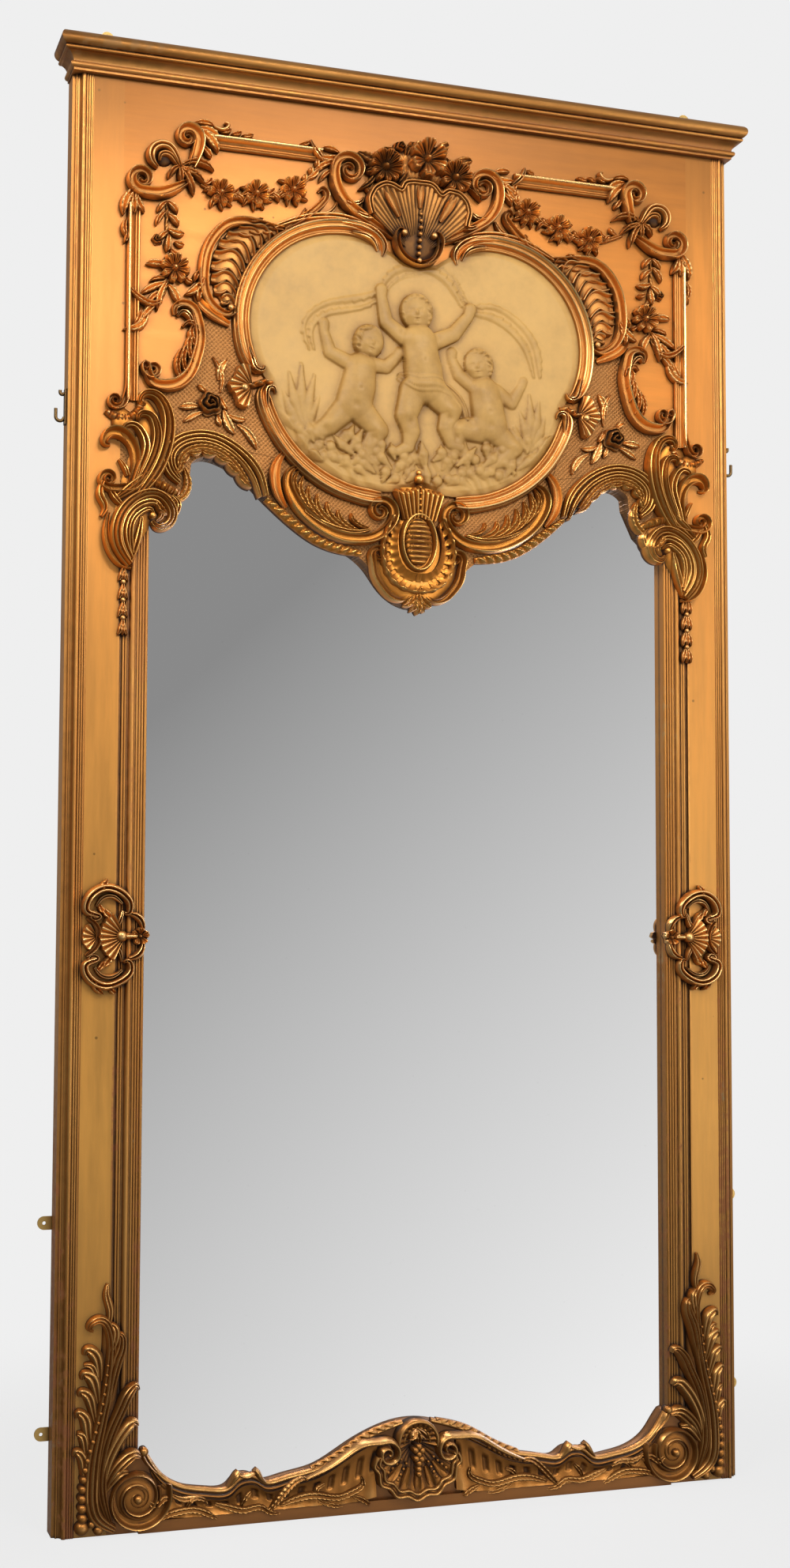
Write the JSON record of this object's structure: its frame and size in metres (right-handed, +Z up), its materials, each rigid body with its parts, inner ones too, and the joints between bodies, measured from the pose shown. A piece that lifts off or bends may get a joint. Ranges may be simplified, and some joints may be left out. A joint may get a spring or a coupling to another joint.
{
  "type": "pier mirror",
  "caption": "Tall giltwood pier mirror: arched plate glass under a carved head with a lobed relief plaque, scrolls, garlands and acanthus, moulded cornice, fixed to a wall by brass lugs.",
  "frame": {"origin": "middle of the foot on the wall side", "axes": "+Z up, +Y into the wall, +X to the right as seen from the front"},
  "size_m": [1.1042, 0.0761, 2.1715],
  "materials": {
    "satin_gilt": "satin gilding over bole",
    "moulding_gilt": "burnished gilding, worn at the edges",
    "carved_gilt": "burnished gilding with an umber wash in the hollows",
    "plaster": "cream wash on cast plaster",
    "silvered_glass": "silvered plate glass",
    "brass": "dull aged brass",
    "steel": "old wood screws",
    "bare_wood": "rough sawn softwood, darkened with age"
  },
  "bodies": {
    "root": {"apron_board": "satin_gilt", "apron_cartouche": "carved_gilt", "apron_scroll_left": "carved_gilt", "apron_scroll_right": "carved_gilt", "back_battens": "bare_wood", "backboards": "bare_wood", "base_corner_left": "carved_gilt", "base_corner_right": "carved_gilt", "base_frieze_left": "carved_gilt", "base_frieze_right": "carved_gilt", "base_shell": "carved_gilt", "bottom_rail": "satin_gilt", "clasp_left": "carved_gilt", "clasp_right": "carved_gilt", "corner_scrolls_left": "carved_gilt", "corner_scrolls_right": "carved_gilt", "cornice_block": "satin_gilt", "cornice_front": "moulding_gilt", "cornice_left_return": "moulding_gilt", "cornice_right_return": "moulding_gilt", "crest_flowers": "carved_gilt", "crest_scroll_left": "carved_gilt", "crest_scroll_right": "carved_gilt", "crest_shell": "carved_gilt", "drop_garland_left": "carved_gilt", "drop_garland_right": "carved_gilt", "ear_left": "carved_gilt", "ear_right": "carved_gilt", "head_panel": "satin_gilt", "husk_drops": "carved_gilt", "left_stile": "satin_gilt", "mid_rail": "bare_wood", "mirror_glass": "silvered_glass", "mirror_plates": "brass", "outer_moulding_left": "moulding_gilt", "outer_moulding_right": "moulding_gilt", "plaque_frame_lower_left": "carved_gilt", "plaque_frame_lower_right": "carved_gilt", "plaque_frame_upper_left": "carved_gilt", "plaque_frame_upper_right": "carved_gilt", "plinth_strip": "satin_gilt", "relief_plaque": "plaster", "right_stile": "satin_gilt", "rocaille_wing_left": "carved_gilt", "rocaille_wing_right": "carved_gilt", "rose_spray_left": "carved_gilt", "rose_spray_right": "carved_gilt", "side_bar_left": "carved_gilt", "side_bar_right": "carved_gilt", "side_hooks": "brass", "sight_moulding_left": "moulding_gilt", "sight_moulding_right": "moulding_gilt", "spandrel_scroll_left": "carved_gilt", "spandrel_scroll_right": "carved_gilt", "swag_left": "carved_gilt", "swag_right": "carved_gilt", "top_bar_left": "carved_gilt", "top_bar_right": "carved_gilt", "top_rail": "bare_wood", "wood_screws": "steel"}
  },
  "joints": []
}
